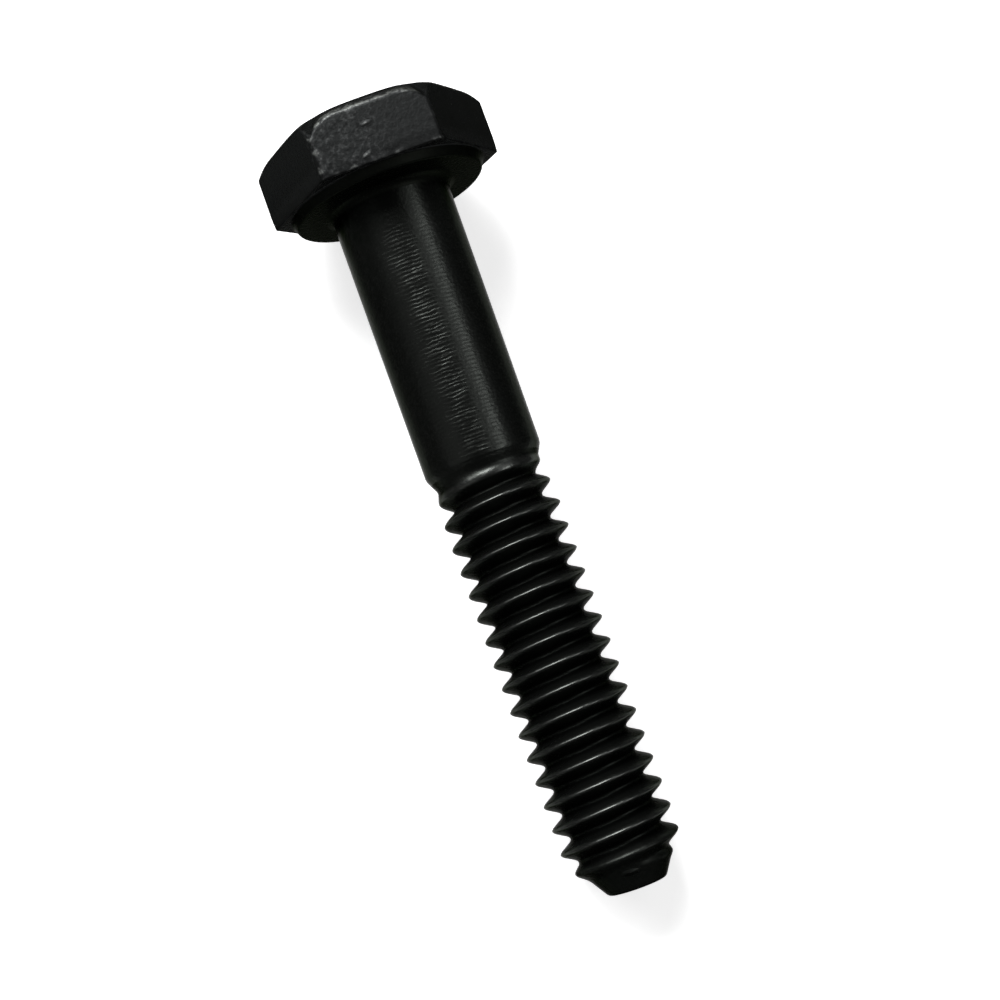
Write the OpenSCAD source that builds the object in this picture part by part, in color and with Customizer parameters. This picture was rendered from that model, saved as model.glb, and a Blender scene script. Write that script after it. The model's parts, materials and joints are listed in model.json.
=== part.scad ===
// Hex head cap screw, 1/4 in - 20 coarse thread by 1 1/2 in, black oxide steel: one forged and rolled piece.
// It lies on the foot of the lower flat of its head and on the last full crest of its thread.
// +X runs from the head to the point, +Z is up, and the origin is on the ground under its middle.

/* [Head] */
// Width across the flats of the hexagon
across_flats = 11; // [10:0.1:14]
// Height of the head, from the bearing face to the top
head_height = 4.1; // [3:0.1:6]
// Distance from a flat in to the flat circle that the chamfer leaves on top
chamfer_inset = 0.55; // [0.2:0.05:1.2]
// Slope of the corner chamfer, from the plane of the top
chamfer_angle = 36; // [20:1:45]
// Distance from a flat in to the edge of the washer face
washer_face_inset = 0.3; // [0.1:0.05:0.8]
// Thickness of the washer face
washer_face_height = 0.55; // [0.3:0.05:0.9]
// Height of the foot of each flat, which leans in by the slope that the screw rests at
foot_height = 0.6; // [0.3:0.05:1]

/* [Shank] */
// Length of the screw under its head
screw_length = 38.1; // [30:0.1:60]
// Diameter of the plain shank
shank_diameter = 6.32; // [6.2:0.02:7]
// Length of the plain shank, from the bearing face to its shoulder
shank_length = 14.95; // [8:0.05:20]
// Radius of the fillet between the washer face and the shank
fillet_radius = 0.45; // [0.2:0.05:0.8]
// Slope of the shoulder, from the axis
shoulder_angle = 29; // [25:1:50]
// Length of the neck, from the shoulder to the beginning of the groove
neck_length = 0.15; // [0.1:0.05:2]

/* [Thread] */
// Distance between neighbouring crests
pitch = 1.27; // [1.15:0.01:1.6]
// Diameter over the crests
major_diameter = 6.17; // [6:0.01:6.5]
// Depth of the groove
thread_depth = 0.7; // [0.55:0.01:0.75]
// Width of the flat on a crest
crest_flat = 0.2; // [0.1:0.01:0.24]
// Height of the crests above the neck, the blank that the thread is rolled on
crest_rise = 0.3; // [0.2:0.01:0.4]
// Angle round the axis at which the groove begins, from the lower flat
start_angle = -81; // [-180:9:180]
// Turns that the groove takes to reach its full depth
groove_run_in = 0.5; // [0.2:0.05:1]
// Turns that the crest takes to rise to its full height
crest_run_in = 2.4; // [1:0.1:4]

/* [Point] */
// Diameter of the end face, measured to the sharp corner
end_diameter = 3.1; // [2.4:0.1:3.8]
// Slope of the point's cone, from the axis
point_angle = 36; // [30:1:45]
// Radius of the round edge of the end face
end_round = 0.3; // [0.1:0.05:0.5]

/* [Hidden] */

// Half of the included angle of the thread form
flank_angle = 30;
// Facets in a turn of the thread, and steps in the round edge of the end face
turn_steps = 40;
round_steps = 5;
// Length by which a solid runs on inside or past its neighbour
overlap = 0.2;

flat_radius = across_flats / 2;
corner_radius = flat_radius / cos(30);
top_radius = flat_radius - chamfer_inset;
washer_face_radius = flat_radius - washer_face_inset;
shank_radius = shank_diameter / 2;
major_radius = major_diameter / 2;
root_radius = major_radius - thread_depth;
neck_radius = major_radius - crest_rise;

// Where the shoulder meets the neck, and where the groove begins
neck_begin = shank_length + (shank_radius - neck_radius) / tan(shoulder_angle);
thread_begin = neck_begin + neck_length;

// Thread form over one pitch: places along the axis from the middle of a crest, with its crest and its root
root_flat = pitch - crest_flat - 2 * thread_depth * tan(flank_angle);
crest_places = [-crest_flat / 2, crest_flat / 2];
root_places = [pitch / 2 - root_flat / 2, pitch / 2 + root_flat / 2];
form_places = concat(crest_places, root_places);
form_count = len(form_places);

// Rows round the thread, counted from the lower flat: the first turn is hidden in the shank,
// and the last one runs past the end of the screw
begin_row = round(start_angle / 360 * turn_steps);
first_row = begin_row - ceil(turn_steps * ((neck_length + overlap) / pitch + 0.5));
last_row = begin_row + ceil(turn_steps * ((screw_length + overlap - thread_begin) / pitch + 1));
row_count = last_row - first_row;

// Cone of the point, and the centre of the round edge that touches the cone and the end face
cone_begin = screw_length - (major_radius - end_diameter / 2) / tan(point_angle);
round_centre = [
    end_diameter / 2 - end_round * tan((90 - point_angle) / 2),
    screw_length - end_round
];

// Rest: the axis slopes from the foot of the lower flat to the last full crest below it
first_lower_crest = thread_begin - pitch * begin_row / turn_steps - pitch / 2 + crest_flat / 2;
rest_crest = first_lower_crest + pitch * floor((cone_begin - first_lower_crest) / pitch);
foot_begin = washer_face_height + foot_height;
slope = atan((flat_radius - major_radius) / (rest_crest + foot_begin));
rest_height = flat_radius * cos(slope) - foot_begin * sin(slope);
head_reach = head_height * cos(slope) + top_radius * sin(slope);
point_reach = screw_length * cos(slope) + round_centre.x * sin(slope);

// Rises smoothly from 0 to 1 as t does
function ease(t) = let (u = min(max(t, 0), 1)) u * u * (3 - 2 * u);

// Radius of the crest on the head side of the groove, and of the groove, some turns from the groove's beginning
function crest_radius(turns) = neck_radius + crest_rise * min(max(turns / crest_run_in, 0), 1);
function groove_radius(turns) = neck_radius - (neck_radius - root_radius) * ease(turns / groove_run_in);

// Point of the thread's surface in a row, for one place of the thread form
function thread_point(row, i) =
    let (
        turns = (row - begin_row) / turn_steps,
        r = i < len(crest_places) ? crest_radius(turns) : groove_radius(turns),
        angle = 360 * row / turn_steps,
        z = thread_begin + pitch * (turns - 1 / 2) + form_places[i]
    )
    [r * cos(angle), r * sin(angle), z];

// Number of a point: the place after the last one of a row is the first place of the row one turn on
function number(row, i) =
    i < form_count ? row * form_count + i : (row + turn_steps) * form_count;

// Triangles that join a rim to a point
function fan(centre, rim) = [
    for (i = [0 : len(rim) - 1])
        [centre, rim[i], rim[(i + 1) % len(rim)]]
];

// Hexagon, with its corners chamfered to the flat circle on top, and the foot of each flat leaning in
module hexagon_head() {
    cone_radius = corner_radius + overlap;
    cone_drop = (cone_radius - top_radius) * tan(chamfer_angle);
    hexagon_height = head_height - washer_face_height;
    intersection() {
        translate([0, 0, -head_height])
            rotate([0, 0, 30])
                intersection() {
                    cylinder(r = corner_radius, h = hexagon_height, $fn = 6);
                    cylinder(
                        r1 = corner_radius + (hexagon_height - foot_height) * tan(slope) / cos(30),
                        r2 = corner_radius - foot_height * tan(slope) / cos(30),
                        h = hexagon_height,
                        $fn = 6
                    );
                }
        rotate_extrude($fn = 96)
            polygon([
                [0, -head_height],
                [top_radius, -head_height],
                [cone_radius, cone_drop - head_height],
                [cone_radius, 0],
                [0, 0]
            ]);
    }
}

// Washer face, fillet, plain shank and shoulder, which ends inside the neck
module plain_shank() {
    inner_radius = neck_radius - overlap / 2;
    shoulder_end = shank_length + (shank_radius - inner_radius) / tan(shoulder_angle);
    rotate_extrude($fn = 96)
        difference() {
            polygon([
                [0, -washer_face_height - overlap],
                [washer_face_radius, -washer_face_height - overlap],
                [washer_face_radius, 0],
                [shank_radius + fillet_radius, 0],
                [shank_radius, fillet_radius],
                [shank_radius, shank_length],
                [inner_radius, shoulder_end],
                [0, shoulder_end]
            ]);
            translate([shank_radius + fillet_radius, fillet_radius])
                circle(r = fillet_radius, $fn = 48);
        }
}

// Neck and thread as one helical strip, closed at both ends by fans to points on the axis
module thread() {
    strip = [
        for (row = [first_row : last_row])
            for (i = [0 : form_count - 1])
                thread_point(row, i)
    ];
    sides = [
        for (row = [0 : row_count - 1])
            for (i = [0 : form_count - 1])
                if (i < form_count - 1 || row < row_count - turn_steps)
                    each [
                        [number(row, i), number(row, i + 1), number(row + 1, i + 1)],
                        [number(row, i), number(row + 1, i + 1), number(row + 1, i)]
                    ]
    ];
    head_rim = concat(
        [for (row = [0 : turn_steps]) number(row, 0)],
        [for (i = [form_count - 1 : -1 : 1]) number(0, i)]
    );
    point_rim = concat(
        [for (i = [0 : form_count - 1]) number(row_count, i)],
        [for (row = [row_count - 1 : -1 : row_count - turn_steps]) number(row, form_count - 1)]
    );
    head_centre = [0, 0, strip[0].z + pitch / 2];
    point_centre = [0, 0, strip[len(strip) - 1].z - pitch / 2];
    polyhedron(
        points = concat(strip, [head_centre, point_centre]),
        faces = concat(sides, fan(len(strip), head_rim), fan(len(strip) + 1, point_rim)),
        convexity = 10
    );
}

// Outline that the threaded end is kept to: clear of the crests, then the cone, the round edge and the end face
module point_outline() {
    clear_radius = major_radius + overlap;
    rotate_extrude($fn = 96)
        polygon(concat(
            [[0, 0], [clear_radius, 0], [clear_radius, cone_begin - overlap / tan(point_angle)]],
            [
                for (i = [0 : round_steps])
                    let (a = point_angle + (90 - point_angle) * i / round_steps)
                    round_centre + end_round * [cos(a), sin(a)]
            ],
            [[0, screw_length]]
        ));
}

// The whole screw, laid down
module cap_screw() {
    color("#23252a")
        translate([(head_reach - point_reach) / 2, 0, rest_height])
            rotate([0, 90 + slope, 0])
                union() {
                    hexagon_head();
                    plain_shank();
                    intersection() {
                        thread();
                        point_outline();
                    }
                }
}

cap_screw();
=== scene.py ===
"""Looks of a hex head cap screw of black oxide steel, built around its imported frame.

The screw is one piece. It is turned, pressed and threaded upright in millimetres, in its own frame: Z runs
from the bearing face to the point, and X points to the flat that it lies on, so the upper flat faces -X.
Then it is laid where the frame has it.
"""

import json
import math
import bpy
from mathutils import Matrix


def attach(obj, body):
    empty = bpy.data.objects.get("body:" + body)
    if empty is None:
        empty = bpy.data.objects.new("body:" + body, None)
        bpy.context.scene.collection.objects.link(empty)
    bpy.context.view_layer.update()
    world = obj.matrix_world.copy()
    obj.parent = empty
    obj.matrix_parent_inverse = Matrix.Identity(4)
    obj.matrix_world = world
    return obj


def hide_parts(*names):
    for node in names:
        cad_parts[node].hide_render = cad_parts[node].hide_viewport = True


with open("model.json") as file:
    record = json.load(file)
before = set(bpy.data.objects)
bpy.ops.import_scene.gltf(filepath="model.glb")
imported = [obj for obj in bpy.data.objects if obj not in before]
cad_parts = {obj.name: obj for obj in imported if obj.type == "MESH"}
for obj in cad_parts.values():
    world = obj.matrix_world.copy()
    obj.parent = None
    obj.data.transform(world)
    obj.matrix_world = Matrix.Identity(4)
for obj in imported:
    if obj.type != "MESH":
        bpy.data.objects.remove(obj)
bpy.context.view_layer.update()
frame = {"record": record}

from types import SimpleNamespace

import bmesh
import bpy
from bpy.props import FloatProperty, FloatVectorProperty, IntProperty, PointerProperty
from mathutils import Matrix, Vector, noise

bl_info = {
    "name": "Hex head cap screw",
    "version": (1, 0, 0),
    "blender": (4, 5, 0),
    "location": "3D View > Sidebar > Cap screw",
    "description": "Builds a hex head cap screw of black oxide steel and the stage that it lies on",
    "category": "Add Mesh",
}

MM = 0.001
MOUNTS = {mount["name"]: mount for mount in frame["record"]["mounts"]}

# Distance within which a point counts as lying on a face or a ring of the blank, in millimetres
ON_FACE = 0.01
ON_RING = 0.001
# Edges of the head that turn by more than this are worn round, each kind by its share of the worn edge
SHARP = math.radians(20)
TOP_WEAR = 0.4
UPRIGHT_WEAR = 0.4
RIM_WEAR = 0.6
WASHER_WEAR = 0.3
# The upper flat and its edges lie beyond this X
UPPER_FLAT = -4.7
# How far the oxide of the shoulder and of the point's cone is rubbed, where a crest is rubbed by 1
SHOULDER_RUB = 0.9
CONE_RUB = 0.25

# Distance of the lamps from the screw, in metres
LAMP_DISTANCE = 0.6
# Camera fitted to the photograph: place in metres, turn in degrees, lens and sensor in millimetres
CAMERA_PLACE = (0.0175506, -0.0059745, 0.0971786)
CAMERA_TURN = (11.1467, 0.0316, 70.2789)
CAMERA_LENS = 65.286
CAMERA_SENSOR = 36


def srgb(colour):
    """Linear colour of an sRGB hex value."""
    parts = [int(colour[i:i + 2], 16) / 255 for i in (1, 3, 5)]
    return tuple(p / 12.92 if p <= 0.04045 else ((p + 0.055) / 1.055) ** 2.4 for p in parts) + (1,)


def length(name, description, millimetres):
    """A size of the screw, kept in metres as the 3D view shows it."""
    return FloatProperty(
        name=name, description=description, default=millimetres * MM, min=0, precision=5, unit="LENGTH",
    )


def slant(name, description, degrees):
    """An angle of the screw."""
    return FloatProperty(
        name=name, description=description, default=math.radians(degrees), unit="ROTATION", subtype="ANGLE",
    )


def number(name, description, default):
    """A plain number, such as turns or a slope."""
    return FloatProperty(name=name, description=description, default=default)


def tint(name, description, colour):
    """A colour, kept as linear red, green, blue and alpha."""
    return FloatVectorProperty(
        name=name, description=description, default=srgb(colour), size=4, min=0, max=1, subtype="COLOR",
    )


class CapScrewSizes(bpy.types.PropertyGroup):
    """Sizes of the screw"""

    across_flats: length("Across flats", "Width of the hexagon between two flats", 11)
    head_height: length("Head height", "From the bearing face to the top of the head", 4.04)
    chamfer_inset: length("Chamfer inset", "From a flat in to the edge of the top", 0.5)
    chamfer_drop: length("Chamfer drop", "From the top down to the middle of a flat's upper edge", 0.36)
    corner_drop: length("Corner drop", "How much lower the chamfer reaches at a corner", 0.3)
    struck_edge: length("Struck edge", "How much lower it reaches on the upper flat", 0.16)
    struck_corner: length("Struck corner", "How much lower still at the corners of the upper flat", 0.5)
    top_radius: length("Top radius", "Radius that rounds the corners of the top", 5.15)
    foot_height: length("Foot height", "Foot of each flat, which leans in", 0.6)
    foot_lean: slant("Foot lean", "How far the foot of a flat leans in", 3.735)
    washer_radius: length("Washer face radius", "Radius of the washer face", 5.2)
    washer_flare: length("Washer face flare", "How far its wall flares out to the hexagon", 0.24)
    washer_height: length("Washer face height", "Thickness of the washer face", 0.515)
    head_aside: length("Head aside", "How far the forged head sits off the axis", 0.09)
    head_lean: number("Head lean", "Slope of the forged head across the axis", 0.022)
    head_growth: length("Head growth", "How much taller the forged head is than its nominal height", 0.16)
    screw_length: length("Length", "Length of the screw under its head", 38.17)
    shank_radius: length("Shank radius", "Radius of the plain shank under the head", 3.25)
    shank_end_radius: length("Shank end radius", "Radius of the plain shank at its shoulder", 3.165)
    shank_length: length("Shank length", "From the bearing face to the shoulder", 15.0)
    fillet: length("Fillet", "Fillet between the washer face and the shank", 0.5)
    shoulder_round: length("Shoulder round", "Rounding where the shank turns into the shoulder", 0.16)
    shoulder_angle: slant("Shoulder angle", "Slope of the shoulder from the axis", 28)
    pitch: length("Pitch", "Distance between two crests", 1.27)
    major_radius: length("Crest radius", "Radius over the crests", 3.105)
    thread_depth: length("Thread depth", "Depth of the groove", 0.77)
    crest_flat: length("Crest flat", "Width of the flat on a crest", 0.18)
    neck_radius: length("Neck radius", "Radius of the blank that the thread is rolled on", 2.785)
    groove_begin: length("Groove begin", "From the bearing face to the beginning of the groove", 15.7765)
    groove_angle: slant("Groove angle", "Where the groove begins round the axis, from the lower flat", -81)
    groove_run_in: number("Groove run-in", "Turns in which the groove gets its depth", 0.5)
    crest_run_in: number("Crest run-in", "Turns in which the crest gets its height", 2.15)
    end_radius: length("End radius", "Radius of the end face, measured to its sharp corner", 1.55)
    end_aside: length("End aside", "How far the cone of the point sits off the axis", 0.1)
    point_angle: slant("Point angle", "Slope of the point's cone from the axis", 33)
    end_round: length("End round", "Radius of the round edge of the end face", 0.3)
    worn_edge: length("Worn edge", "Rounding of a fully worn edge of the head", 0.3)
    nick: length("Nick", "Depth of the nicks in the edges of the head", 0.07)
    columns: IntProperty(name="Columns", description="Faces in a turn of the screw", default=120, min=60)


class CapScrewFinish(bpy.types.PropertyGroup):
    """Colours of the black oxide and of the stage"""

    forging: tint("Forging", "Black oxide on the forged head", "#212222")
    # This colour also carries the painted light on the feet of the side flats
    forging_thin_and_foot_light: tint("Forging, thin", "Black oxide that is worn thin on the head", "#303131")
    forging_bare: tint("Forging, bare", "Steel that shows through on the head's edges", "#626462")
    forging_sheen: tint("Forging sheen", "Light that glances off the head", "#9f9f9d")
    under_head: tint("Under the head", "Black oxide on the washer face", "#181a17")
    under_head_sheen: tint("Sheen under the head", "Light that glances off the washer face", "#a1a39e")
    bar: tint("Drawn bar", "Black oxide on the plain shank", "#2f312f")
    # Painted shade: colour of the shank just under the head, darkened where the head shadows it
    bar_shaded_by_head: tint("Drawn bar by the head", "Black oxide on the shank just under the head", "#1c1e1c")
    bar_sheen: tint("Drawn bar sheen", "Light that glances off the shank", "#acacab")
    root: tint("Root", "Black oxide in the root of the thread", "#1e201e")
    flank: tint("Flank", "Black oxide on the flanks of the thread", "#272927")
    crest_edge: tint("Crest edge", "Black oxide beside the crests of the thread", "#2a2c2a")
    crest: tint("Crest", "Steel that shows through on the crests of the thread", "#4c4e4c")
    thread_sheen: tint("Thread sheen", "Light that glances off the thread", "#a1a19f")
    floor: tint("Floor", "White card that the screw lies on", "#f4f4f4")
    left_card: tint("Left card", "Card that the left of the screw mirrors", "#989898")
    right_card: tint("Right card", "Card that the right of the screw mirrors", "#686868")
    point_card: tint("Point card", "Card that the point of the screw mirrors", "#606060")


def sizes_in_mm(sizes):
    """The sizes with every length in millimetres, and angles in radians."""
    found = {}
    for name, prop in sizes.bl_rna.properties.items():
        if name in ("name", "rna_type"):
            continue
        value = getattr(sizes, name)
        found[name] = value / MM if prop.unit == "LENGTH" else value
    return SimpleNamespace(**found)


def screw_place():
    """Where the upright screw goes in the frame: its axis and its bearing face are those of the mount."""
    mount = MOUNTS["bearing_face"]
    along = Vector(mount["axis"]).normalized()
    aside = Vector((0, 1, 0))
    place = Matrix((aside.cross(along), aside, along)).transposed().to_4x4()
    place.translation = (mount["pos_m"][0], 0, mount["pos_m"][2])
    return place


def clamp(value):
    """The value, kept between 0 and 1."""
    return min(max(value, 0), 1)


def ease(value):
    """Rises smoothly from 0 to 1 as the value does."""
    value = clamp(value)
    return value * value * (3 - 2 * value)


def lesser(a, b, soft):
    """The lesser of two values, with the corner between them rounded over the soft distance."""
    overlap = max(soft - abs(a - b), 0) / soft
    return min(a, b) - overlap * overlap * soft / 4


def greater(a, b, soft):
    """The greater of two values, rounded in the same way."""
    return -lesser(-a, -b, soft)


def start_ring(columns, radius, height):
    """Adds a ring of edges round the axis and leaves it selected in edit mode."""
    bpy.ops.object.select_all(action="DESELECT")
    bpy.ops.mesh.primitive_circle_add(
        vertices=columns, radius=radius, fill_type="NOTHING", location=(0, 0, height),
    )
    bpy.ops.object.transform_apply(location=True, rotation=True, scale=True)
    bpy.ops.object.mode_set(mode="EDIT")
    return bpy.context.edit_object


def draw_ring(outline):
    """Extrudes the selected ring to the radius and height that the outline gives at each angle."""
    bpy.ops.mesh.extrude_edges_indiv()
    mesh = bpy.context.edit_object.data
    cage = bmesh.from_edit_mesh(mesh)
    for point in cage.verts:
        if point.select:
            angle = math.atan2(point.co.y, point.co.x)
            radius, height = outline(angle)
            point.co = (radius * math.cos(angle), radius * math.sin(angle), height)
    bmesh.update_edit_mesh(mesh)


def draw_round(radius, height):
    """Extrudes the selected ring to a round one."""
    draw_ring(lambda angle: (radius, height))


def select_ring(radius, height):
    """Selects only the edges of a round ring."""
    bpy.ops.mesh.select_all(action="DESELECT")
    mesh = bpy.context.edit_object.data
    cage = bmesh.from_edit_mesh(mesh)
    for edge in cage.edges:
        at_radius = all(abs(point.co.xy.length - radius) < ON_RING for point in edge.verts)
        at_height = all(abs(point.co.z - height) < ON_RING for point in edge.verts)
        if at_radius and at_height:
            edge.select_set(True)
    bmesh.update_edit_mesh(mesh)


def hexagon(angle, across):
    """Radius of a hexagon at an angle, with flats that face 0, 60 and so on."""
    return across / 2 / math.cos((angle + math.pi / 6) % (math.pi / 3) - math.pi / 6)


def chamfer_ring(s, share):
    """Outline of a ring of the chamfer, a share of the way from the top down to the hexagon's rim."""
    flat = s.across_flats / 2
    # Shares of the way from a flat's middle to its corner at which the chamfer begins to reach lower
    corner_begin = 0.5
    struck_begin = 0.6
    # Cosine of the angle from the upper flat's middle at which the struck edge has faded out, past the flat's
    # corners, and the width of the fade
    fade_end = 0.79
    fade_width = 0.07

    def outline(angle):
        top = lesser(hexagon(angle, s.across_flats - 2 * s.chamfer_inset), s.top_radius, 0.3)
        rim = hexagon(angle, s.across_flats)
        along = math.sqrt(max(rim * rim - flat * flat, 0)) / (flat * math.tan(math.pi / 6))
        corner = clamp((along - corner_begin) / (1 - corner_begin)) ** 2
        struck = clamp((along - struck_begin) / (1 - struck_begin)) ** 2
        upper = clamp((-math.cos(angle) - fade_end) / fade_width)
        drop = s.chamfer_drop + s.corner_drop * corner
        drop += upper * (s.struck_edge + s.struck_corner * struck)
        return top + (rim - top) * share, drop * share - s.head_height
    return outline


def side_ring(s, share):
    """Outline of a ring of the hexagon's sides, a share of the way from the chamfer down to the feet."""
    rim = chamfer_ring(s, 1)
    foot = -s.washer_height - s.foot_height

    def outline(angle):
        edge = rim(angle)[1]
        height = edge + (-s.washer_height - edge) * share
        lean = max(height - foot, 0) * math.tan(s.foot_lean)
        return hexagon(angle, s.across_flats - 2 * lean), height
    return outline


def turn_blank(s):
    """Head, washer face, fillet, shank and the top of the shoulder, as rings drawn down from the top."""
    # Radius of the disc that closes the top
    disc = 0.6 * (s.across_flats / 2 - s.chamfer_inset)
    # Rows of faces on a flat, and the share of its height that is left free for its rounded upper edge
    rows = 19
    first_row = 0.17
    blank = start_ring(s.columns, disc, -s.head_height)
    blank.name = "cap_screw_steel"
    for share in (0, 1):
        draw_ring(chamfer_ring(s, share))
    for row in range(rows):
        draw_ring(side_ring(s, first_row + (1 - first_row) * row / (rows - 1)))
    draw_round(s.washer_radius + s.washer_flare, -s.washer_height)
    draw_round(s.washer_radius + s.washer_flare / 2, -s.washer_height / 2)
    draw_round(s.washer_radius, 0)
    # A ring on the bearing face, clear of the fillet
    draw_round((s.washer_radius + s.shank_radius) / 2 + 0.3, 0)
    draw_round(s.shank_radius, 0)
    draw_round(s.shank_end_radius, s.shank_length)
    draw_round(shoulder_radius(s, strip_begin(s)), strip_begin(s))
    select_ring(s.shank_radius, 0)
    bpy.ops.mesh.bevel(offset=s.fillet, segments=7)
    select_ring(s.shank_end_radius, s.shank_length)
    bpy.ops.mesh.bevel(offset=s.shoulder_round, segments=4)
    select_ring(disc, -s.head_height)
    bpy.ops.mesh.edge_face_add()
    bpy.ops.mesh.select_all(action="SELECT")
    bpy.ops.mesh.normals_make_consistent(inside=False)
    bpy.ops.object.mode_set(mode="OBJECT")
    return blank


def edge_wear(s, edge):
    """Share of the worn edge that rounds an edge of the blank. It is 0 off the head and on smooth edges."""
    low, high = sorted(point.co.z for point in edge.verts)
    rise = high - low
    if high > ON_FACE or edge.calc_face_angle(0) < SHARP:
        return 0
    if high < ON_FACE - s.head_height:
        return TOP_WEAR
    # Edges between two flats rise by more than a third of their length, and reach well below the chamfer
    steep = rise > 0.05 and edge.calc_length() < 3 * rise
    if steep and high > s.chamfer_drop - s.head_height + 0.3:
        return UPRIGHT_WEAR
    if high > -s.washer_height - ON_FACE:
        return WASHER_WEAR
    return RIM_WEAR


def wear_edges(s, blank):
    """Rounds the edges of the head by the Bevel modifier, each kind by its own weight."""
    cage = bmesh.new()
    cage.from_mesh(blank.data)
    weight = cage.edges.layers.float.new("bevel_weight_edge")
    for edge in cage.edges:
        edge[weight] = edge_wear(s, edge)
    cage.to_mesh(blank.data)
    cage.free()
    bpy.context.view_layer.objects.active = blank
    bevel = blank.modifiers.new("Worn edges", "BEVEL")
    bevel.limit_method = "WEIGHT"
    bevel.width = s.worn_edge
    bevel.segments = 4
    bevel.use_clamp_overlap = False
    bpy.ops.object.modifier_apply(modifier=bevel.name)


def edge_rub(s, point):
    """How far the oxide is rubbed off at a point of the head, from 0 to 1: in patches on the rounded edges of
    the upper flat, and only a little on the other edges."""
    # 0 where the faces at the point are flush within 4 degrees, 1 where they turn by 10 degrees
    turn = max(a.normal.angle(b.normal, 0) for a in point.link_faces for b in point.link_faces)
    on_edge = clamp((math.degrees(turn) - 4) / 6)
    patch = clamp(0.35 + 1.5 * noise.noise(point.co * 1.4 + Vector((3, 1, 7))))
    below_top = point.co.z + s.head_height
    if point.co.x > UPPER_FLAT:
        return on_edge * 0.2 * patch
    # Foot of the upper flat, edge or not
    if point.co.z > -s.washer_height - 0.2:
        return clamp(0.2 + 2 * noise.noise(point.co * 1.7))
    # Upright edges, from 1.2 mm below the top on: fine nicks on the left one, which is towards -Y
    if abs(point.normal.z) < 0.25:
        if below_top < 1.2:
            return 0
        if point.co.y < 0:
            return on_edge * clamp(0.1 + 2.5 * noise.noise(point.co * 3.3))
        return on_edge * 0.15 * patch
    # Upper edge, where it is clear of the top, fading out 3 mm from its middle
    if point.normal.z < 0:
        if below_top < 0.34:
            return 0
        return on_edge * (0.75 + 0.25 * patch) * clamp((3 - abs(point.co.y)) / 0.3)
    return on_edge * patch


def nick_edges(s, blank):
    """Marks the rounded edges of the head as rubbed, and dents them unevenly where they are."""
    cage = bmesh.new()
    cage.from_mesh(blank.data)
    rubbed = cage.verts.layers.float.new("rubbed")
    for point in cage.verts:
        if point.co.z < -s.washer_height - 0.05 and point.link_faces:
            point[rubbed] = edge_rub(s, point)
    for point in cage.verts:
        if point[rubbed]:
            # Nicks about 0.4 mm wide, with a third as deep ones of 0.2 mm among them
            wide = max(noise.noise(point.co * 2.6) - 0.12, 0)
            fine = 0.35 * max(noise.noise(point.co * 6.0), 0)
            point.co -= point.normal * (wide + fine) * s.nick * point[rubbed]
    # The thread is merged to the last ring, so that ring is rubbed as the thread's first one is
    for point in cage.verts:
        if point.co.z > strip_begin(s) - ON_FACE:
            point[rubbed] = SHOULDER_RUB
    cage.to_mesh(blank.data)
    cage.free()


def set_head(s, blank):
    """Moves the forged head a little aside and aslant, as the blow left it. The fillet follows."""
    # Shares of the growth and of the lean that the bearing face has, and length of the shank over which the
    # move fades out
    down_growth = 0.56
    face_lean = 0.8
    fade = 1.6 * s.fillet
    for point in blank.data.vertices:
        hold = 1 - ease(point.co.z / fade)
        rise = clamp(-point.co.z / s.head_height)
        lean = s.head_lean * (face_lean + (1 - face_lean) * rise)
        point.co.z += hold * (s.head_growth * (down_growth - rise) - lean * point.co.y)
        point.co.y += hold * s.head_aside


def strip_begin(s):
    """Height at which the wound strip of the thread begins, level, on the shoulder."""
    return s.groove_begin - s.pitch / 3


def strip_end(s):
    """Height at which the strip ends, level, on the cone, a quarter of a millimetre before the end face."""
    return s.screw_length - 0.25


def full_turns(s):
    """Whole turns of the strip between its beginning and its end."""
    return math.floor((strip_end(s) - strip_begin(s)) / s.pitch)


def seam_height(s, turns):
    """Height of the seam between two turns of the strip, which lies on the shoulder for the first turn, then
    follows the groove, and lies on the cone for the last turn."""
    if turns < 1:
        return strip_begin(s)
    if turns < full_turns(s) + 1:
        return strip_begin(s) + s.pitch * (turns - 1)
    last = strip_begin(s) + s.pitch * full_turns(s)
    return last + (strip_end(s) - last) * clamp(turns - full_turns(s) - 1)


def shoulder_radius(s, height):
    """Radius of the shoulder's cone."""
    return s.shank_end_radius - (height - s.shank_length) * math.tan(s.shoulder_angle)


def cone_radius(s, angle, height):
    """Radius of the point's cone, which sits a little aside."""
    return s.end_radius + (s.screw_length - height) * math.tan(s.point_angle) + s.end_aside * math.sin(angle)


def nearest_crest(s, angle, height):
    """Turns from the beginning of the groove to the crest nearest a point of the thread, and its radius."""
    turn = (angle - s.groove_angle) / math.tau
    turn += math.floor((height - s.groove_begin) / s.pitch + 1 - turn)
    return turn, s.neck_radius + (s.major_radius - s.neck_radius) * clamp(turn / s.crest_run_in)


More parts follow.
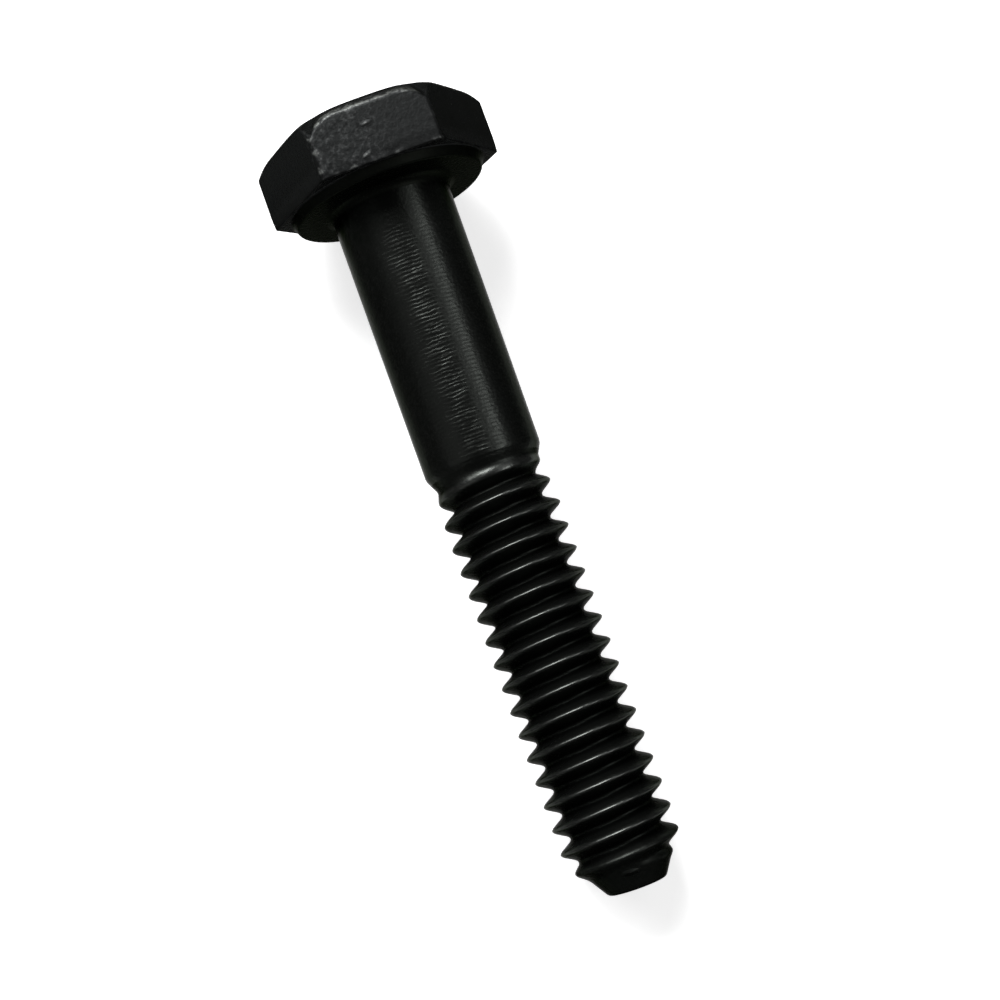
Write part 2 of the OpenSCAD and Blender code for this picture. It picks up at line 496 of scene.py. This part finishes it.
def thread_radius(s, angle, height):
    """Radius of the threaded end: a rolled groove with its run-in, between shoulder and point."""
    turn, crest = nearest_crest(s, angle, height)
    # Distance along the axis from the middle of the crest, and the groove on that side of it
    place = height - s.groove_begin - s.pitch * (turn - 0.5)
    run = turn if place > 0 else turn - 1
    root = s.major_radius - s.thread_depth
    groove = s.neck_radius - (s.neck_radius - root) * ease(run / s.groove_run_in)

    # Where the groove begins, the flank towards the head is 0.6 as long, and the crest is 0.22 mm wider
    # towards the point. A turn on, both are as on the rest
    half = s.pitch / 2
    flank = s.thread_depth * math.tan(math.radians(30))
    wide = 0.22 * (1 - clamp(turn)) if place > 0 else 0
    if place < 0:
        flank *= 0.6 + 0.4 * clamp(turn)
    flank = min(flank, half - s.crest_flat / 2 - wide)

    # 1 on the crest and 0 in the root, with both corners rounded, and 0 in any case at the seam
    level = (s.crest_flat / 2 + wide + flank - abs(place)) / flank
    level = greater(lesser(level, 1, 0.3), 0, 0.24) * ease((half - abs(place)) / 0.1)

    # The cone cuts the thread off, but a crest keeps 0.6 of its height over it until 2 mm before the end, and
    # none from 0.75 mm before the end on
    cone = cone_radius(s, angle, height)
    groove = lesser(groove, cone, 0.1)
    if crest > cone:
        kept = 0.6 * (1 - ease((height - s.screw_length + 2) / 1.25))
        crest = cone + (crest - cone) * kept
    return greater(groove + (crest - groove) * level, shoulder_radius(s, height), 0.08)


def wind_strip(s):
    """Strip over one pitch of the thread form, wound with the Screw modifier, and the number of its rows."""
    half = s.pitch / 2
    # Rows each side of the crest, closest where the crest and the root are round
    near_crest = [0.035, 0.065, 0.095, 0.125, 0.16, 0.2]
    near_root = [0.29, 0.39, 0.44, 0.48, 0.515, 0.55, 0.59]
    rows = near_crest + near_root + [half]
    places = [-place for place in reversed(rows)] + [0] + rows
    bpy.ops.object.select_all(action="DESELECT")
    bpy.ops.mesh.primitive_plane_add(size=1)
    strip = bpy.context.active_object
    bpy.ops.object.mode_set(mode="EDIT")
    cage = bmesh.from_edit_mesh(strip.data)
    for point in cage.verts:
        point.select_set(point.co.x < 0)
    bpy.ops.mesh.delete(type="VERT")
    bpy.ops.mesh.select_all(action="SELECT")
    bpy.ops.mesh.subdivide(number_cuts=len(places) - 2)
    cage = bmesh.from_edit_mesh(strip.data)
    for point, place in zip(sorted(cage.verts, key=lambda p: p.co.y), places):
        point.co = (s.major_radius, 0, place + half)
    bmesh.update_edit_mesh(strip.data)
    bpy.ops.object.mode_set(mode="OBJECT")
    winding = strip.modifiers.new("Thread", "SCREW")
    winding.axis = "Z"
    winding.angle = math.tau
    winding.screw_offset = s.pitch
    winding.iterations = full_turns(s) + 2
    winding.steps = winding.render_steps = s.columns
    bpy.ops.object.modifier_apply(modifier=winding.name)
    return strip, len(places)


def roll_thread(s):
    """Shapes the wound strip into the thread with its run-in and point, and marks its crests as rubbed."""
    strip, rows = wind_strip(s)
    begin = s.groove_angle - math.tau / 3
    rubbed = strip.data.attributes.new("rubbed", "FLOAT", "POINT")
    for index, point in enumerate(strip.data.vertices):
        wound = index // rows / s.columns
        share = point.co.z / s.pitch - wound
        low, high = seam_height(s, wound), seam_height(s, wound + 1)
        height = low + (high - low) * clamp(share)
        angle = begin + math.tau * wound
        radius = thread_radius(s, angle, height)
        point.co = (radius * math.cos(angle), radius * math.sin(angle), height)
        below_crest = nearest_crest(s, angle, height)[1] - radius
        clear_of_shoulder = clamp((radius - shoulder_radius(s, height)) / 0.05)
        on_crest = clamp(1 - below_crest / s.thread_depth)
        on_crest *= SHOULDER_RUB + (1 - SHOULDER_RUB) * clear_of_shoulder
        on_cone = clamp((s.major_radius - cone_radius(s, angle, height)) / 0.3)
        rubbed.data[index].value = max(on_crest, CONE_RUB * on_cone)
    return strip


def turn_point(s):
    """Rest of the cone, the round edge and the end face of the point."""
    height = strip_end(s)
    end = start_ring(s.columns, s.end_radius, height)
    draw_ring(lambda around: (thread_radius(s, around, height), height))
    cage = bmesh.from_edit_mesh(end.data)
    bmesh.ops.delete(cage, geom=[point for point in cage.verts if not point.select], context="VERTS")
    bmesh.update_edit_mesh(end.data)
    centre = s.end_radius - s.end_round * math.tan((math.pi / 2 - s.point_angle) / 2)
    steps = 6
    for step in range(steps + 1):
        slope = s.point_angle + (math.pi / 2 - s.point_angle) * step / steps
        radius = centre + s.end_round * math.cos(slope)
        level = s.screw_length - s.end_round * (1 - math.sin(slope))
        draw_ring(lambda around: (radius + s.end_aside * math.sin(around), level))
    draw_round(0.6 * centre, s.screw_length)
    bpy.ops.mesh.edge_face_add()
    bpy.ops.object.mode_set(mode="OBJECT")
    rubbed = end.data.attributes.new("rubbed", "FLOAT", "POINT")
    rubbed.data.foreach_set("value", [CONE_RUB] * len(end.data.vertices))
    return end


def join_steel(blank, others):
    """Joins the turned, rolled and pointed parts into one closed surface."""
    bpy.ops.object.select_all(action="DESELECT")
    for part in others + [blank]:
        part.select_set(True)
    bpy.context.view_layer.objects.active = blank
    bpy.ops.object.join()
    bpy.ops.object.mode_set(mode="EDIT")
    bpy.ops.mesh.select_all(action="SELECT")
    bpy.ops.mesh.remove_doubles(threshold=1e-4)
    bpy.ops.mesh.normals_make_consistent(inside=False)
    bpy.ops.object.mode_set(mode="OBJECT")
    bpy.ops.object.shade_smooth()


def add_node(tree, kind, settings=None, links=None, stops=()):
    """Adds a node, sets its fields and sockets, links other nodes' outputs to its sockets, and gives a colour
    ramp its stops, each a position and a colour, with the two ends before the ones between them."""
    node = tree.nodes.new(kind)
    for name, value in (settings or {}).items():
        if isinstance(name, str) and hasattr(node, name):
            setattr(node, name, value)
        else:
            node.inputs[name].default_value = value
    for name, (source, output) in (links or {}).items():
        tree.links.new(source.outputs[output], node.inputs[name])
    for index, (position, colour) in enumerate(stops):
        elements = node.color_ramp.elements
        stop = elements[index] if index < 2 else elements.new(position)
        stop.position = position
        stop.color = colour
    return node


def start_material(name):
    """A material with an empty node tree."""
    material = bpy.data.materials.new(name)
    material.use_nodes = True
    tree = material.node_tree
    tree.nodes.clear()
    return material, tree


def screw_coordinates(tree):
    """Object coordinates turned into millimetres in the upright screw's own frame."""
    place = screw_place()
    where = add_node(tree, "ShaderNodeTexCoord")
    return add_node(tree, "ShaderNodeMapping", {
        "vector_type": "TEXTURE",
        "Location": place.translation,
        "Rotation": place.to_euler(),
        "Scale": (MM, MM, MM),
    }, {"Vector": (where, "Object")})


def oxide_on_forging(finish):
    """Black oxide on a forging: satin and near black, pitted and speckled towards the left of the upper flat,
    with steel that shows through on the rubbed edges, and painted light towards the feet of the side flats."""
    # Sizes of the marks, in millimetres. The grain is drawn coarser than it is, so that it shows
    blotch_size = 1.1111
    pit_size = 0.3846
    grain_size = 0.25
    speckle_size = 0.2222
    material, tree = start_material("black_oxide_on_forging")
    where = screw_coordinates(tree)
    here = {"Vector": (where, "Vector")}
    side = add_node(tree, "ShaderNodeSeparateXYZ", {}, here)

    # The left of the upper flat has the most marks, its right half as many, and the other flats none
    lefter = add_node(tree, "ShaderNodeMapRange", {
        "From Min": -0.6, "From Max": 1.2, "To Min": 1.0, "To Max": 0.5,
    }, {"Value": (side, "Y")})
    upper = add_node(tree, "ShaderNodeMapRange", {
        "From Min": -5.3, "From Max": -4.9, "To Min": 1.0, "To Max": 0.0,
    }, {"Value": (side, "X")})
    left = add_node(tree, "ShaderNodeMath", {"operation": "MULTIPLY"}, {
        0: (lefter, "Result"), 1: (upper, "Result"),
    })

    # Grain all over, with pits among it
    grain = add_node(tree, "ShaderNodeTexNoise", {
        "Scale": 1 / grain_size, "Detail": 3.0, "Roughness": 0.65,
    }, here)
    pitted = add_node(tree, "ShaderNodeTexNoise", {"Scale": 1 / pit_size, "Detail": 2.0}, here)
    pits = add_node(tree, "ShaderNodeMapRange", {
        "interpolation_type": "SMOOTHSTEP", "From Min": 0.38, "From Max": 0.72, "To Max": 0.5,
    }, {"Value": (pitted, "Fac")})
    skin = add_node(tree, "ShaderNodeMath", {"operation": "MULTIPLY_ADD"}, {
        0: (pits, "Result"), 1: (left, "Value"), 2: (grain, "Fac"),
    })
    rubbed = add_node(tree, "ShaderNodeAttribute", {"attribute_name": "rubbed"})
    worn = add_node(tree, "ShaderNodeMath", {"operation": "MULTIPLY"}, {
        0: (rubbed, "Fac"), 1: (grain, "Fac"),
    })

    # Two scars on the upper flat, short raised burrs that are rubbed bright: place, turn and half size
    for place, turn, size in (
        ((-5.5, -0.6, -0.92), -0.5, (0.4, 0.32, 0.14)),
        ((-5.5, -0.15, -2.5), -0.1, (0.4, 0.36, 0.15)),
    ):
        near = add_node(tree, "ShaderNodeMapping", {
            "vector_type": "TEXTURE", "Location": place, "Rotation": (turn, 0, 0), "Scale": size,
        }, here)
        scar = add_node(tree, "ShaderNodeTexGradient", {"gradient_type": "SPHERICAL"}, {
            "Vector": (near, "Vector"),
        })
        skin = add_node(tree, "ShaderNodeMath", {"operation": "MULTIPLY_ADD", 1: 1.6}, {
            0: (scar, "Fac"), 2: (skin, "Value"),
        })
        worn = add_node(tree, "ShaderNodeMath", {"operation": "MULTIPLY_ADD", 1: 0.4}, {
            0: (scar, "Fac"), 2: (worn, "Value"),
        })

    # Speckles where the oxide is thin, and painted light towards the feet of the other flats, which stands in
    # for the light that they mirror there
    speckle = add_node(tree, "ShaderNodeTexNoise", {"Scale": 1 / speckle_size, "Detail": 2.0}, here)
    spots = add_node(tree, "ShaderNodeMapRange", {
        "From Min": 0.42, "From Max": 0.76, "To Max": 0.38,
    }, {"Value": (speckle, "Fac")})
    bare = add_node(tree, "ShaderNodeMath", {"operation": "MULTIPLY_ADD"}, {
        0: (spots, "Result"), 1: (left, "Value"), 2: (worn, "Value"),
    })
    # Painted reflection: the tone is drawn lighter towards the feet of the side flats
    foot = add_node(tree, "ShaderNodeMapRange", {
        "From Min": -2.0, "From Max": -0.9, "To Max": 0.15,
    }, {"Value": (side, "Z")})
    other = add_node(tree, "ShaderNodeMath", {"operation": "SUBTRACT", 0: 1.0}, {1: (upper, "Result")})
    bare = add_node(tree, "ShaderNodeMath", {"operation": "MULTIPLY_ADD"}, {
        0: (foot, "Result"), 1: (other, "Value"), 2: (bare, "Value"),
    })
    tone = add_node(tree, "ShaderNodeValToRGB", {}, {"Fac": (bare, "Value")}, (
        (0.08, finish.forging), (0.65, finish.forging_bare), (0.3, finish.forging_thin_and_foot_light),
    ))

    # Blotches change the gloss
    blotch = add_node(tree, "ShaderNodeTexNoise", {
        "Scale": 1 / blotch_size, "Detail": 3.0, "Roughness": 0.6,
    }, here)
    gloss = add_node(tree, "ShaderNodeMapRange", {"To Min": 0.4, "To Max": 0.6}, {"Value": (blotch, "Fac")})
    bumps = add_node(tree, "ShaderNodeBump", {"Strength": 1.0, "Distance": 0.02 * MM}, {
        "Height": (skin, "Value"),
    })
    shader = add_node(tree, "ShaderNodeBsdfPrincipled", {
        "Metallic": 1.0, "Specular Tint": finish.forging_sheen,
    }, {"Base Color": (tone, "Color"), "Roughness": (gloss, "Result"), "Normal": (bumps, "Normal")})
    add_node(tree, "ShaderNodeOutputMaterial", {}, {"Surface": (shader, "BSDF")})
    return material


def oxide_under_head(finish):
    """Black oxide on the washer face and the fillet, drawn duller and blacker than on the head."""
    # Size of the grain in millimetres, drawn coarser than it is, so that it shows
    grain_size = 0.25
    material, tree = start_material("black_oxide_under_head")
    where = screw_coordinates(tree)
    grain = add_node(tree, "ShaderNodeTexNoise", {"Scale": 1 / grain_size, "Detail": 2.0}, {
        "Vector": (where, "Vector"),
    })
    bumps = add_node(tree, "ShaderNodeBump", {"Strength": 1.0, "Distance": 0.015 * MM}, {
        "Height": (grain, "Fac"),
    })
    shader = add_node(tree, "ShaderNodeBsdfPrincipled", {
        "Base Color": finish.under_head,
        "Metallic": 1.0,
        "Roughness": 0.5,
        "Specular Tint": finish.under_head_sheen,
    }, {"Normal": (bumps, "Normal")})
    add_node(tree, "ShaderNodeOutputMaterial", {}, {"Surface": (shader, "BSDF")})
    return material


def oxide_on_drawn_bar(finish):
    """Black oxide on drawn bar: smoother, with a sparkling highlight, fine uneven rings on the upper left of
    the shank that break up the light, and painted shade just under the head."""
    # Distance between rings, and sizes of the uneven patches and the grain, in millimetres. The grain is
    # drawn coarser than it is, so that it shows
    ring_gap = 0.21666
    patch_size = 2 / 3
    grain_size = 0.2
    material, tree = start_material("black_oxide_on_drawn_bar")
    where = screw_coordinates(tree)
    here = {"Vector": (where, "Vector")}
    side = add_node(tree, "ShaderNodeSeparateXYZ", {}, here)

    # Rings that waver, slowly round the shank. A wave texture of scale 1 has its bands a tenth of pi apart
    round_shank = add_node(tree, "ShaderNodeMapping", {"Scale": (0.4, 0.4, 1.0)}, here)
    ring = add_node(tree, "ShaderNodeTexWave", {
        "bands_direction": "Z",
        "Scale": math.pi / 10 / ring_gap,
        "Distortion": 4.0,
        "Detail": 2.0,
        "Detail Scale": 2.4,
        "Detail Roughness": 0.6,
    }, {"Vector": (round_shank, "Vector")})

    # They fade out to both sides and towards the head, and are uneven
    right = add_node(tree, "ShaderNodeMapRange", {
        "From Min": 0.3, "From Max": 1.3, "To Min": 1.0, "To Max": 0.25,
    }, {"Value": (side, "Y")})
    left = add_node(tree, "ShaderNodeMapRange", {
        "From Min": -1.9, "From Max": -0.7, "To Min": 0.1, "To Max": 1.0,
    }, {"Value": (side, "Y")})
    band = add_node(tree, "ShaderNodeMath", {"operation": "MULTIPLY"}, {
        0: (left, "Result"), 1: (right, "Result"),
    })
    clear = add_node(tree, "ShaderNodeMapRange", {"From Min": 2.0, "From Max": 3.6}, {"Value": (side, "Z")})
    marked = add_node(tree, "ShaderNodeMath", {"operation": "MULTIPLY"}, {
        0: (band, "Value"), 1: (clear, "Result"),
    })
    patch = add_node(tree, "ShaderNodeTexNoise", {"Scale": 1 / patch_size, "Detail": 2.0}, here)
    uneven = add_node(tree, "ShaderNodeMapRange", {
        "From Min": 0.35, "From Max": 0.6, "To Min": 0.4,
    }, {"Value": (patch, "Fac")})
    marked = add_node(tree, "ShaderNodeMath", {"operation": "MULTIPLY"}, {
        0: (marked, "Value"), 1: (uneven, "Result"),
    })
    rings = add_node(tree, "ShaderNodeBump", {"Distance": 0.013 * MM}, {
        "Height": (ring, "Fac"), "Strength": (marked, "Value"),
    })
    gloss = add_node(tree, "ShaderNodeMapRange", {"To Min": 0.29, "To Max": 0.36}, {
        "Value": (marked, "Value"),
    })
    grain = add_node(tree, "ShaderNodeTexNoise", {"Scale": 1 / grain_size, "Detail": 1.0}, here)
    bumps = add_node(tree, "ShaderNodeBump", {"Strength": 1.0, "Distance": 0.012 * MM}, {
        "Height": (grain, "Fac"), "Normal": (rings, "Normal"),
    })

    # Painted shade: the shank's colour is drawn blacker in the first millimetres under the head, where the
    # head shadows it
    head_shade = add_node(tree, "ShaderNodeMapRange", {"From Min": 0.7, "From Max": 2.8}, {
        "Value": (side, "Z"),
    })
    tone = add_node(tree, "ShaderNodeValToRGB", {}, {"Fac": (head_shade, "Result")}, (
        (0, finish.bar_shaded_by_head), (1, finish.bar),
    ))
    shader = add_node(tree, "ShaderNodeBsdfPrincipled", {
        "Metallic": 1.0, "Specular Tint": finish.bar_sheen,
    }, {"Base Color": (tone, "Color"), "Roughness": (gloss, "Result"), "Normal": (bumps, "Normal")})
    add_node(tree, "ShaderNodeOutputMaterial", {}, {"Surface": (shader, "BSDF")})
    return material


def oxide_on_rolled_thread(finish):
    """Black oxide on a rolled thread: dark flanks, crests that are rubbed brighter and smoother, and a
    painted highlight on the cone of the point.
    """
    # Size of the grain in millimetres, drawn coarser than it is, so that it shows
    grain_size = 1 / 3
    material, tree = start_material("black_oxide_on_rolled_thread")
    where = screw_coordinates(tree)
    here = {"Vector": (where, "Vector")}
    grain = add_node(tree, "ShaderNodeTexNoise", {"Scale": 1 / grain_size, "Detail": 2.0}, here)
    rubbed = add_node(tree, "ShaderNodeAttribute", {"attribute_name": "rubbed"})

    # A short raised burr on the cone of the point, with a painted highlight: its tone is lifted towards the
    # crest's bare steel to draw a light stroke there
    near = add_node(tree, "ShaderNodeMapping", {
        "vector_type": "TEXTURE",
        "Location": (-2.2, -0.15, 37.2),
        "Rotation": (0.07, 0, 0),
        "Scale": (0.5, 0.5, 0.17),
    }, here)
    burr_and_painted_highlight = add_node(tree, "ShaderNodeTexGradient", {"gradient_type": "SPHERICAL"}, {
        "Vector": (near, "Vector"),
    })
    skin = add_node(tree, "ShaderNodeMath", {"operation": "MULTIPLY_ADD", 1: 7.0}, {
        0: (burr_and_painted_highlight, "Fac"), 2: (grain, "Fac"),
    })
    # Painted highlight: the burr's mask lifts the tone of the cone where a light stroke shows
    worn = add_node(tree, "ShaderNodeMath", {"operation": "MULTIPLY_ADD", 1: 0.8}, {
        0: (burr_and_painted_highlight, "Fac"), 2: (rubbed, "Fac"),
    })
    tone = add_node(tree, "ShaderNodeValToRGB", {}, {"Fac": (worn, "Value")}, (
        (0, finish.root), (1, finish.crest), (0.45, finish.flank), (0.92, finish.crest_edge),
    ))
    gloss = add_node(tree, "ShaderNodeMapRange", {
        "From Min": 0.85, "To Min": 0.42, "To Max": 0.28,
    }, {"Value": (rubbed, "Fac")})
    bumps = add_node(tree, "ShaderNodeBump", {"Strength": 1.0, "Distance": 0.02 * MM}, {
        "Height": (skin, "Value"),
    })
    shader = add_node(tree, "ShaderNodeBsdfPrincipled", {
        "Metallic": 1.0, "Specular Tint": finish.thread_sheen,
    }, {"Base Color": (tone, "Color"), "Roughness": (gloss, "Result"), "Normal": (bumps, "Normal")})
    add_node(tree, "ShaderNodeOutputMaterial", {}, {"Surface": (shader, "BSDF")})
    return material


def white_card(finish):
    """White card: matt, with a soft shadow on it, and lifted to white for the camera and for mirrors."""
    material, tree = start_material("white_card")
    matt = add_node(tree, "ShaderNodeBsdfDiffuse", {"Color": finish.floor})
    path = add_node(tree, "ShaderNodeLightPath")
    mirrored = add_node(tree, "ShaderNodeMath", {"operation": "MAXIMUM"}, {
        0: (path, "Is Glossy Ray"), 1: (path, "Is Transmission Ray"),
    })
    seen = add_node(tree, "ShaderNodeMath", {"operation": "MAXIMUM"}, {
        0: (path, "Is Camera Ray"), 1: (mirrored, "Value"),
    })
    glow = add_node(tree, "ShaderNodeEmission", {"Color": (0.6, 0.6, 0.6, 1)}, {"Strength": (seen, "Value")})
    both = add_node(tree, "ShaderNodeAddShader", {}, {0: (matt, "BSDF"), 1: (glow, "Emission")})
    add_node(tree, "ShaderNodeOutputMaterial", {}, {"Surface": (both, "Shader")})
    return material


def matt_card(name, colour):
    """Matt card of one grey, which the metal mirrors as a dark band."""
    material, tree = start_material(name)
    matt = add_node(tree, "ShaderNodeBsdfDiffuse", {"Color": colour})
    add_node(tree, "ShaderNodeOutputMaterial", {}, {"Surface": (matt, "BSDF")})
    return material


def lay_floor(context, finish):
    """Lays the white card that the screw lies on."""
    bpy.ops.object.select_all(action="DESELECT")
    bpy.ops.mesh.primitive_plane_add(size=3)
    floor = context.active_object
    floor.name = "floor"
    floor.data.materials.append(white_card(finish))


def hang_lamps(context):
    """Dims the world and hangs the lamps, each turned to the screw with its width across it."""
    world = bpy.data.worlds.new("studio")
    world.use_nodes = True
    world.node_tree.nodes["Background"].inputs["Color"].default_value = (0.08, 0.08, 0.08, 1)
    context.scene.world = world

    # Angles of a lamp from straight up, across the screw and along it to the head, then the angles that it
    # fills, across and along, all in degrees, and its level
    for name, across, along, width, height, level in (
        ("bank", 35, 0, 30, 60, 0.75),
        ("left_bank", -52, -15, 50, 44, 0.3),
        ("strip", 42, -13, 7, 34, 6.0),
        ("key", -5, 45, 24, 28, 14.0),
        ("fill", -26, 43, 42, 28, 5.2),
    ):
        across, along = math.radians(across), math.radians(along)
        away = Vector((
            -math.sin(along),
            math.sin(across) * math.cos(along),
            math.cos(across) * math.cos(along),
        ))
        aside = Vector((0, math.cos(across), -math.sin(across)))
        bpy.ops.object.light_add(type="AREA", location=away * LAMP_DISTANCE)
        lamp = context.active_object
        lamp.name = name
        lamp.rotation_euler = Matrix((aside.cross(away), aside, away)).transposed().to_euler()
        lamp.data.shape = "RECTANGLE"
        lamp.data.size_y = 2 * LAMP_DISTANCE * math.tan(math.radians(width / 2))
        lamp.data.size = 2 * LAMP_DISTANCE * math.tan(math.radians(height / 2))
        lamp.data.energy = level * math.pi * lamp.data.size * lamp.data.size_y


def stand_cards(context, finish):
    """Stands cards round the screw that only mirrors see, as dark bands along its sides and on its point."""
    # Place and size in metres, and turn in degrees
    for name, colour, place, turn, size in (
        ("left_card", finish.left_card, (0.003, -0.0106, 0.005), 0, (0.044, 0.010)),
        ("right_card", finish.right_card, (0.003, 0.0145, 0.006), 0, (0.044, 0.012)),
        ("point_card", finish.point_card, (0.026, 0, 0.006), 90, (0.024, 0.012)),
    ):
        upright = (math.radians(90), 0, math.radians(turn))
        bpy.ops.mesh.primitive_plane_add(size=1, location=place, rotation=upright)
        card = context.active_object
        card.name = name
        card.scale = (*size, 1)
        bpy.ops.object.transform_apply(location=True, rotation=True, scale=True)
        card.visible_camera = card.visible_diffuse = card.visible_shadow = False
        card.data.materials.append(matt_card(name, colour))


def set_camera(context):
    """Sets up the camera, which looks down on the screw as the photograph does."""
    bpy.ops.object.camera_add(location=CAMERA_PLACE)
    camera = context.active_object
    camera.rotation_euler = [math.radians(angle) for angle in CAMERA_TURN]
    camera.data.sensor_width = CAMERA_SENSOR
    camera.data.lens = CAMERA_LENS
    camera.data.clip_start = 0.005
    context.scene.camera = camera
    context.scene.view_settings.view_transform = "Standard"


class CAPSCREW_OT_screw(bpy.types.Operator):
    """Builds the screw and gives it its finish"""

    bl_idname = "capscrew.screw"
    bl_label = "Cap screw"

    def execute(self, context):
        s = sizes_in_mm(context.scene.cap_screw_sizes)
        finish = context.scene.cap_screw_finish
        blank = turn_blank(s)
        wear_edges(s, blank)
        nick_edges(s, blank)
        head = blank.vertex_groups.new(name="head")
        head.add([p.index for p in blank.data.vertices if p.co.z < ON_FACE], 1, "REPLACE")
        set_head(s, blank)
        join_steel(blank, [roll_thread(s), turn_point(s)])

        # The finishes follow each other along the screw. The first ends just past the hexagon's underside,
        # which has grown and leans
        for oxide in (oxide_on_forging, oxide_under_head, oxide_on_drawn_bar, oxide_on_rolled_thread):
            blank.data.materials.append(oxide(finish))
        underside = 0.05 - s.washer_height + 0.5 * s.head_growth
        for face in blank.data.polygons:
            along = face.center.z
            past_underside = along + s.head_lean * face.center.y > underside
            face.material_index = past_underside + (along > s.fillet) + (along > strip_begin(s))

        normals = blank.modifiers.new("Flat faces", "WEIGHTED_NORMAL")
        normals.vertex_group = head.name
        bpy.ops.object.modifier_apply(modifier=normals.name)
        blank.matrix_world = screw_place() @ Matrix.Scale(MM, 4)
        bpy.ops.object.transform_apply(location=True, rotation=True, scale=True)
        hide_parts("cap_screw")
        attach(blank, "root")
        return {"FINISHED"}


class CAPSCREW_OT_stage(bpy.types.Operator):
    """Lays the white floor, hangs the lamps, stands the cards and sets up the camera"""

    bl_idname = "capscrew.stage"
    bl_label = "Stage"

    def execute(self, context):
        finish = context.scene.cap_screw_finish
        lay_floor(context, finish)
        hang_lamps(context)
        stand_cards(context, finish)
        set_camera(context)
        return {"FINISHED"}


class CAPSCREW_PT_panel(bpy.types.Panel):
    """Lists the sizes and colours, and what builds the screw and its stage"""

    bl_label = "Cap screw"
    bl_idname = "CAPSCREW_PT_panel"
    bl_space_type = "VIEW_3D"
    bl_region_type = "UI"
    bl_category = "Cap screw"

    def draw(self, context):
        for group in (context.scene.cap_screw_sizes, context.scene.cap_screw_finish):
            for name in group.__annotations__:
                self.layout.prop(group, name)
        for operator in (CAPSCREW_OT_screw, CAPSCREW_OT_stage):
            self.layout.operator(operator.bl_idname)


CLASSES = (CapScrewSizes, CapScrewFinish, CAPSCREW_OT_screw, CAPSCREW_OT_stage, CAPSCREW_PT_panel)


def register():
    for cls in CLASSES:
        bpy.utils.register_class(cls)
    bpy.types.Scene.cap_screw_sizes = PointerProperty(type=CapScrewSizes)
    bpy.types.Scene.cap_screw_finish = PointerProperty(type=CapScrewFinish)


def unregister():
    del bpy.types.Scene.cap_screw_sizes
    del bpy.types.Scene.cap_screw_finish
    for cls in reversed(CLASSES):
        bpy.utils.unregister_class(cls)


def main():
    register()
    bpy.ops.capscrew.screw()
    bpy.ops.capscrew.stage()


if __name__ == "__main__":
    main()
